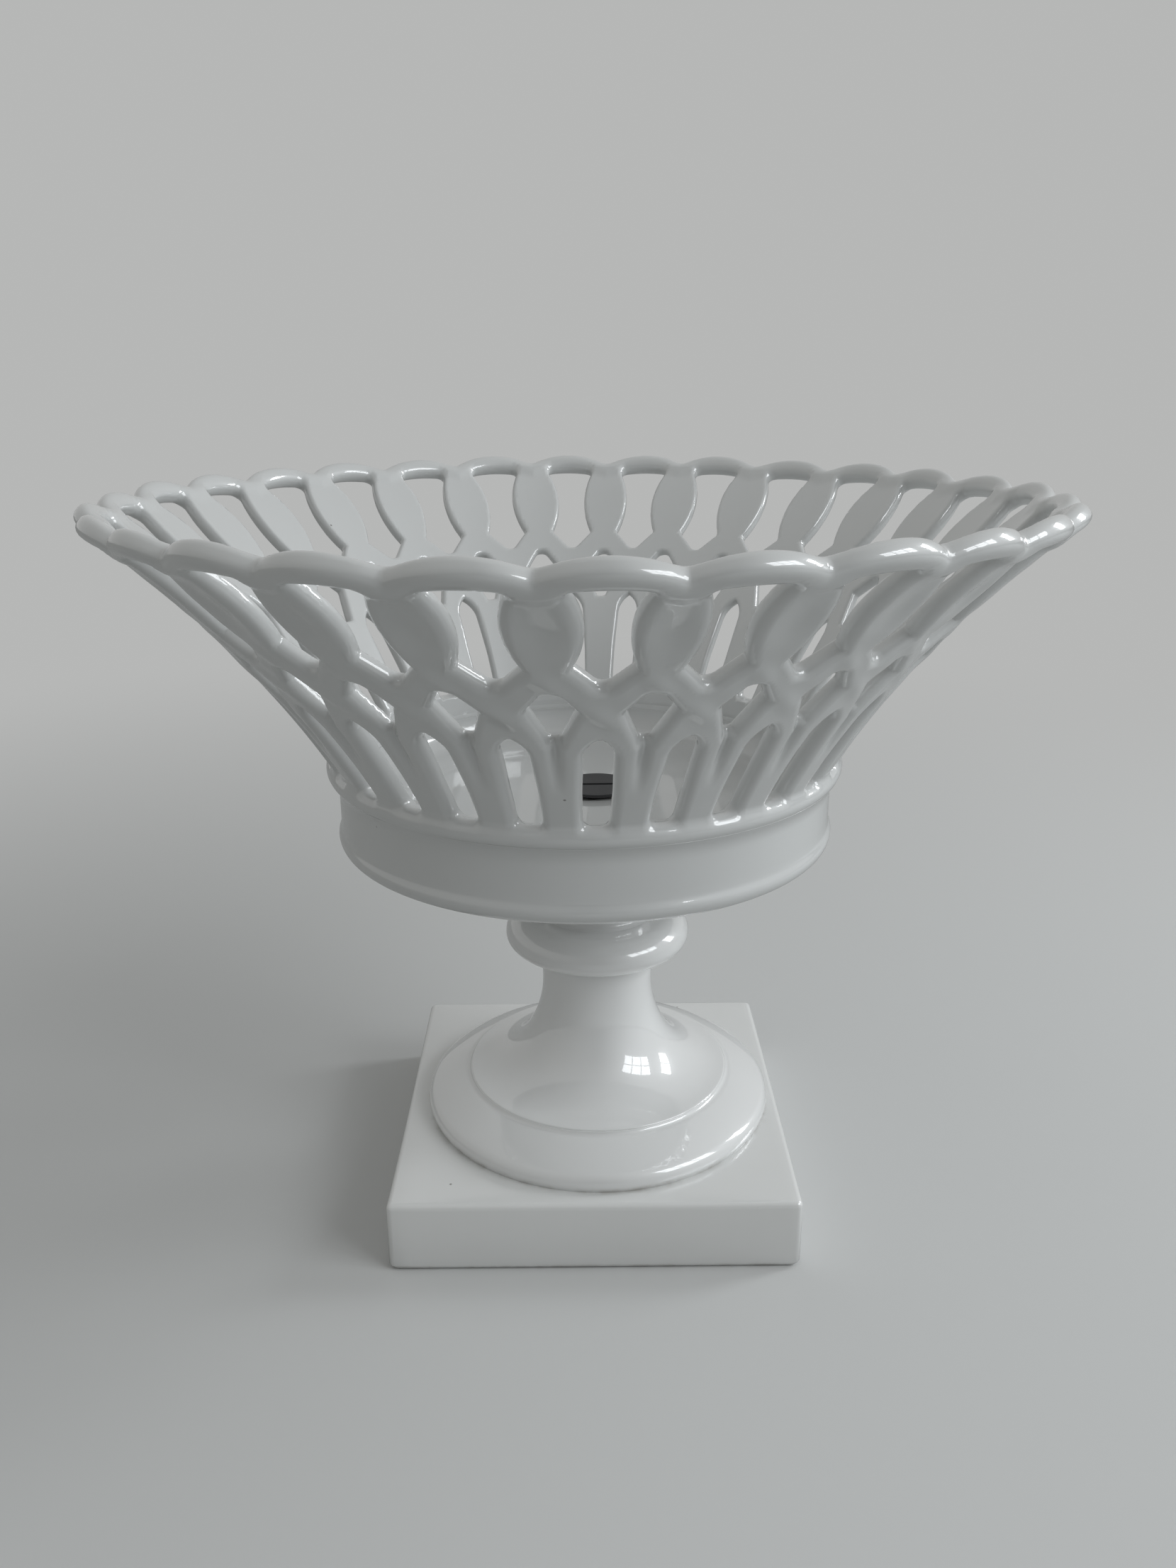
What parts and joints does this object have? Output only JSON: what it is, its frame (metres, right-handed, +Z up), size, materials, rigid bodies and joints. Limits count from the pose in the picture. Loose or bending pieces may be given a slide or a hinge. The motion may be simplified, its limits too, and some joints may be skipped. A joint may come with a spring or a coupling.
{
  "type": "footed basket",
  "caption": "Pierced porcelain fruit basket with a flared openwork wall and scalloped rim, on a cushion knop, trumpet stem, stepped round foot and square plinth.",
  "frame": {"origin": "on the axis of the basket, at the height of the surface that the plinth stands on", "axes": "+Z up; +X to the right and -Y to the front, square with the plinth; the pedestal axis lies 4 mm along +X and 4 mm along +Y, the plinth centre 2 mm and 3 mm"},
  "size_m": [0.2846, 0.2846, 0.2351],
  "materials": {
    "glazed_porcelain": "clear glossy glaze over white porcelain, pooled a little thicker in the creases",
    "plinth_porcelain": "thin satin glaze over pressed white porcelain",
    "dark_steel": "darkened, dull",
    "bright_steel": "plain turned steel",
    "cork": "pressed cork",
    "fibre": "dark fibre"
  },
  "bodies": {
    "root": {"scalloped_rim": "glazed_porcelain", "pierced_wall": "glazed_porcelain", "drum_collar": "glazed_porcelain", "basket_floor": "glazed_porcelain", "knop": "glazed_porcelain", "stem": "glazed_porcelain", "round_foot": "glazed_porcelain", "square_plinth": "plinth_porcelain", "flared_neck": "glazed_porcelain", "tie_bolt": "dark_steel", "head_washer": "fibre", "seat_gasket": "cork", "deck_gasket": "cork", "plate_washer": "bright_steel", "tie_nut": "bright_steel"}
  },
  "joints": []
}
